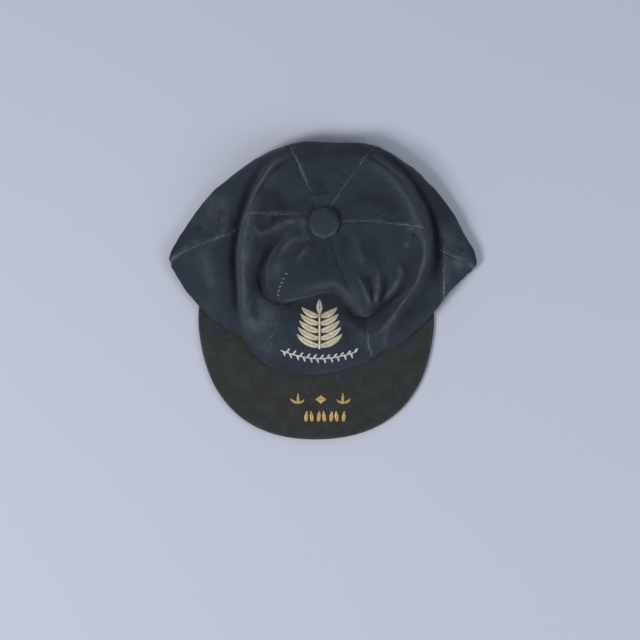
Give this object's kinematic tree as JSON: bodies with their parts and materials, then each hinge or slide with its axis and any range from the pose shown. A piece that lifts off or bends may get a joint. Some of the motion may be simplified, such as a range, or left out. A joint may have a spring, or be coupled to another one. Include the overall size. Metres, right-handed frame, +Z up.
{
  "type": "peaked cloth cap",
  "caption": "Soft sewn cap of six panels with a covered button, a stiff crescent peak and raised embroidery, laid flat so that its crown slumps.",
  "frame": {"origin": "under the middle of the outline, at the surface that the cap lies on", "axes": "+Z up, the peak towards -Y, the wearer's left side towards +X"},
  "size_m": [0.2449, 0.2394, 0.0428],
  "materials": {
    "wool": "matt navy wool with a short nap, worn pale along the seams",
    "peak_cloth": "near-black pile cloth with faint cross ribs",
    "cream_thread": "cream embroidery thread with a slight sheen",
    "white_thread": "white embroidery thread",
    "gold_thread": "gold bullion thread with a soft metallic sheen"
  },
  "bodies": {
    "root": {"crown_panel_front": "wool", "crown_panel_front_left": "wool", "crown_panel_front_right": "wool", "crown_panel_back": "wool", "crown_panel_back_left": "wool", "crown_panel_back_right": "wool", "button": "wool", "peak": "peak_cloth", "emblem_spray": "cream_thread", "emblem_border": "white_thread", "peak_spray_left": "gold_thread", "peak_lozenge": "gold_thread", "peak_spray_right": "gold_thread", "peak_bar": "gold_thread"}
  },
  "joints": []
}
